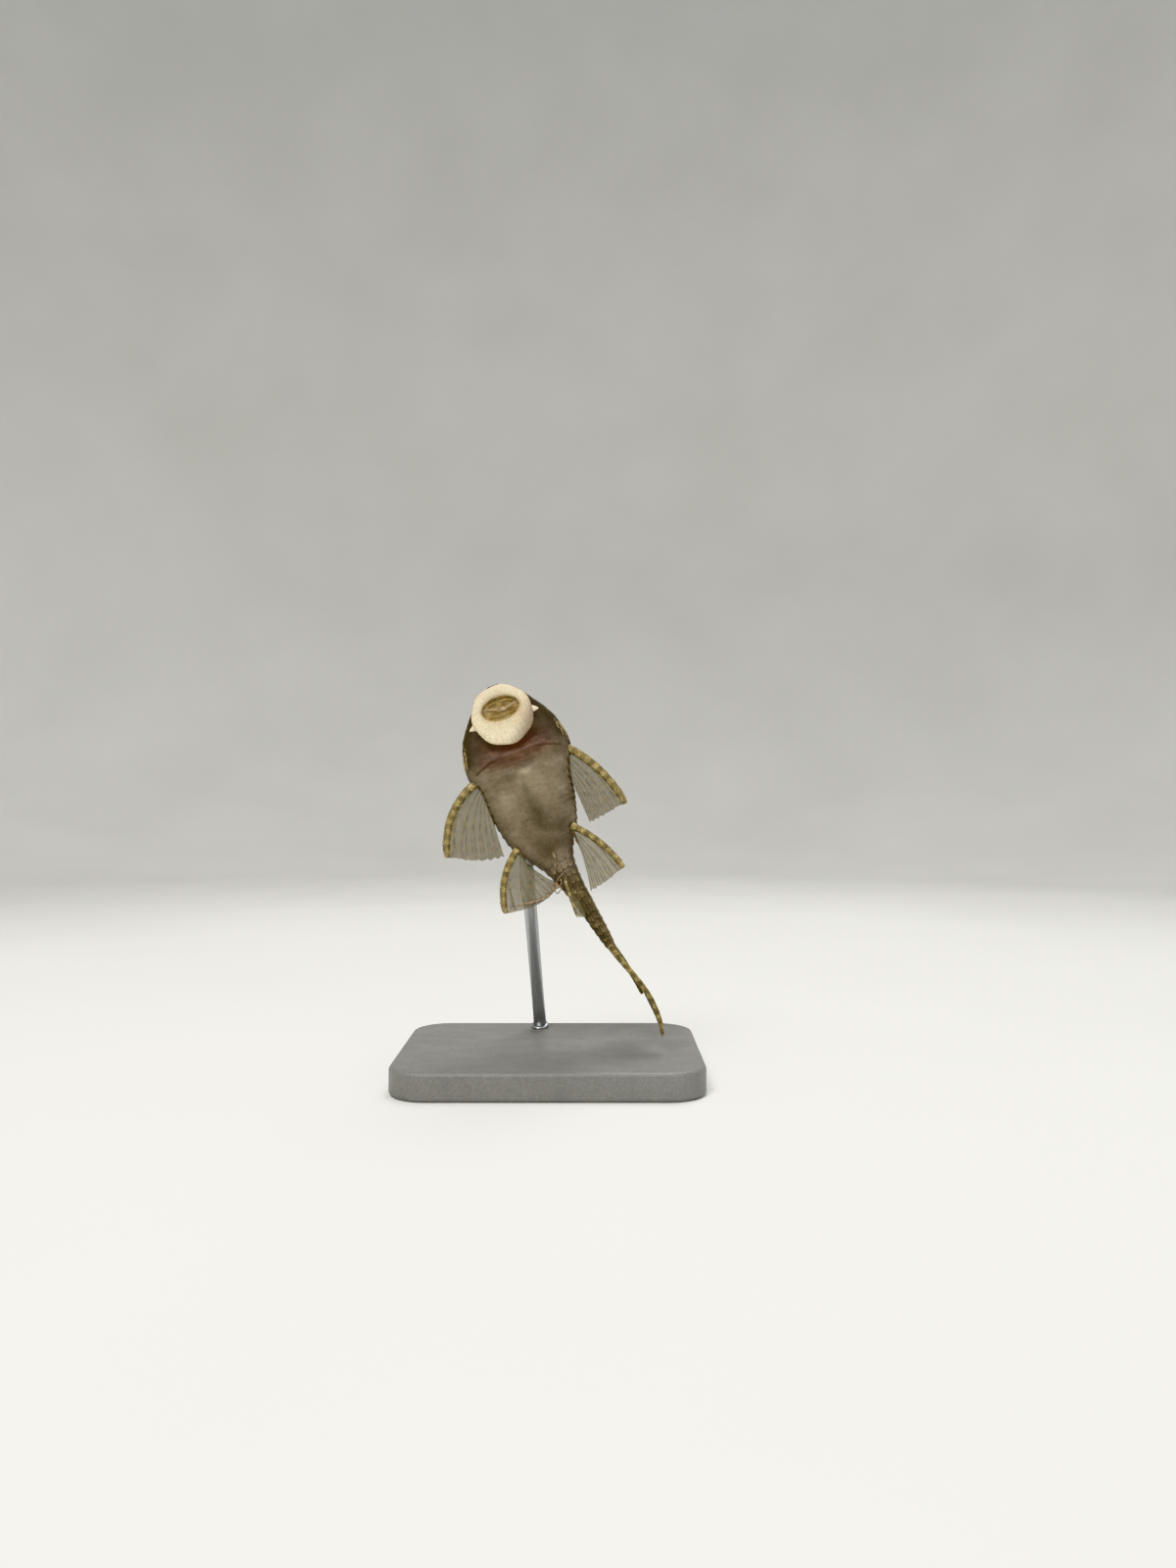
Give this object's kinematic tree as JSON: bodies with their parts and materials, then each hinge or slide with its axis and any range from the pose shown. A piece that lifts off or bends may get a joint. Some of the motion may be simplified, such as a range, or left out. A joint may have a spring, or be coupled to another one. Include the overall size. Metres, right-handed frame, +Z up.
{
  "type": "bristlenose pleco",
  "caption": "Young bristlenose pleco as a life-size still model, clinging belly forward with its sucker mouth, on a plain stand.",
  "frame": {"origin": "centre of the stand's underside", "axes": "+X to the fish's left, which is the viewer's right; +Y towards the fish's back; +Z up, from the stand to the snout"},
  "size_m": [0.044, 0.034, 0.0573],
  "materials": {
    "skin": "satin",
    "lips": "satin",
    "fin": "satin",
    "eye": "gloss",
    "stand": "matte",
    "rod": "brushed"
  },
  "bodies": {
    "root": {"head": "skin", "oral_disc": "lips", "eye_left": "eye", "eye_right": "eye", "torso": "skin", "tail": "skin", "pectoral_fin_left": "fin", "pectoral_fin_right": "fin", "pelvic_fin_left": "fin", "pelvic_fin_right": "fin", "dorsal_fin": "fin", "adipose_fin": "fin", "anal_fin": "fin", "caudal_fin": "fin", "stand_base": "stand", "stand_rod": "rod"}
  },
  "joints": []
}
